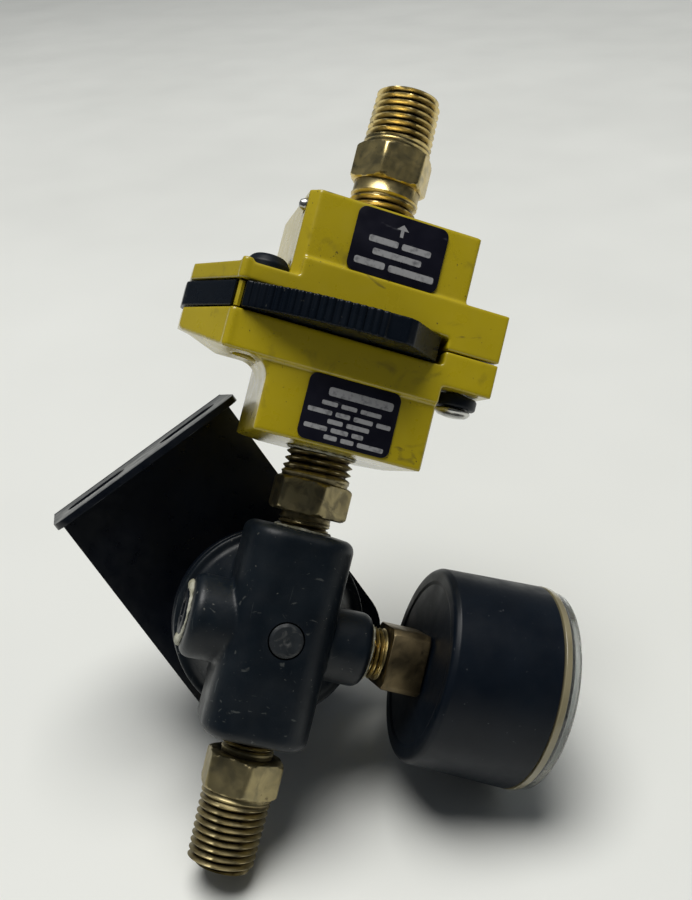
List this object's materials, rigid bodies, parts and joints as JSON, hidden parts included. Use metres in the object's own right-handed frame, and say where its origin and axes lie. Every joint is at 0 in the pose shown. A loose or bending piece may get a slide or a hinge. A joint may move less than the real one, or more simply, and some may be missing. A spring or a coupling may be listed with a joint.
{
  "type": "air pressure regulator assembly",
  "caption": "Miniature diaphragm air regulator with gauge, wall bracket and a yellow slide shut-off valve joined by threaded brass nipples.",
  "frame": {"origin": "centre of the top nipple's end face, on the flow axis", "axes": "+Z out of the top nipple along the flow axis, +X the way the gauge's dial faces, +Y from the regulator to its adjusting knob"},
  "size_m": [0.1038, 0.0823, 0.157],
  "materials": {
    "yellow_paint": "glossy, worn",
    "black_plastic": "satin",
    "black_zinc": "satin, cast",
    "black_steel": "powder coat",
    "brass": "tarnished",
    "steel": "zinc plated",
    "rubber": "matte",
    "label_film": "printed film",
    "dial_white": "matte",
    "pointer_black": "matte",
    "clear_lens": "clear"
  },
  "bodies": {
    "regulator": {"outlet_nipple": "brass", "valve_upper_body": "yellow_paint", "valve_lower_body": "yellow_paint", "upper_seal": "rubber", "lower_seal": "rubber", "left_clamp_screw": "black_steel", "right_clamp_screw": "steel", "right_screw_collar": "black_plastic", "label_pin": "steel", "upper_label": "label_film", "lower_label": "label_film", "middle_nipple": "brass", "regulator_body": "black_zinc", "bottom_plug": "black_zinc", "port_plug": "black_steel", "inlet_nipple": "brass", "poppet_spring": "steel", "diaphragm": "rubber", "bonnet": "black_plastic", "panel_nut": "black_plastic", "gauge_stem": "brass", "gauge_case": "black_plastic", "gauge_dial": "dial_white", "gauge_lens": "clear_lens", "movement_frame": "brass", "bourdon_tube": "brass"},
    "slide": {"valve_slide": "black_plastic"},
    "screw": {"adjusting_screw": "steel"},
    "knob": {"knob": "black_plastic"},
    "seat": {"spring_seat": "brass", "range_spring": "steel"},
    "plate": {"diaphragm_plate": "brass"},
    "poppet": {"poppet": "brass"},
    "bracket": {"bracket": "black_steel"},
    "pointer": {"pointer": "pointer_black", "pinion_arbor": "brass"},
    "sector": {"sector_gear": "brass"}
  },
  "joints": [
    {"name": "valve_shutoff", "type": "slide", "parent": "regulator", "child": "slide", "axis": [-1, 0, 0], "range_m": [0, 0.0126]},
    {"name": "screw_turn", "type": "hinge", "parent": "regulator", "child": "screw", "pos_m": [0, 0.03, -0.111], "axis": [0, -1, 0], "range_deg": [0, 1728]},
    {"name": "knob_lock", "type": "slide", "parent": "screw", "child": "knob", "axis": [0, 1, 0], "range_m": [0, 0.003]},
    {"name": "seat_travel", "type": "slide", "parent": "regulator", "child": "seat", "axis": [0, -1, 0], "range_m": [0, 0.00605], "deforming": ["range_spring"]},
    {"name": "diaphragm_travel", "type": "slide", "parent": "regulator", "child": "plate", "axis": [0, -1, 0], "range_m": [0, 0.001], "stiffness_N_per_m": 1500, "springref_m": -0.0005, "deforming": ["diaphragm"]},
    {"name": "poppet_travel", "type": "slide", "parent": "regulator", "child": "poppet", "axis": [0, -1, 0], "range_m": [0, 0.001], "deforming": ["poppet_spring"]},
    {"name": "pointer_turn", "type": "hinge", "parent": "regulator", "child": "pointer", "pos_m": [0.045, 0, -0.111], "axis": [-1, 0, 0], "range_deg": [0, 270], "stiffness_Nm_per_rad": 0.00002, "springref_deg": -34.38},
    {"name": "sector_turn", "type": "hinge", "parent": "regulator", "child": "sector", "pos_m": [0.041, 0, -0.1046], "axis": [1, 0, 0], "range_deg": [0, 34.5]},
    {"name": "bracket_swivel", "type": "hinge", "parent": "regulator", "child": "bracket", "pos_m": [0, 0.0286, -0.111], "axis": [0, -1, 0], "range_deg": [0, 85]}
  ],
  "couplings": [
    {"joint": "seat_travel", "follows": "screw_turn", "m_per_rad": 0.00019894},
    {"joint": "poppet_travel", "follows": "diaphragm_travel", "ratio": 1},
    {"joint": "sector_turn", "follows": "pointer_turn", "ratio": 0.125}
  ]
}
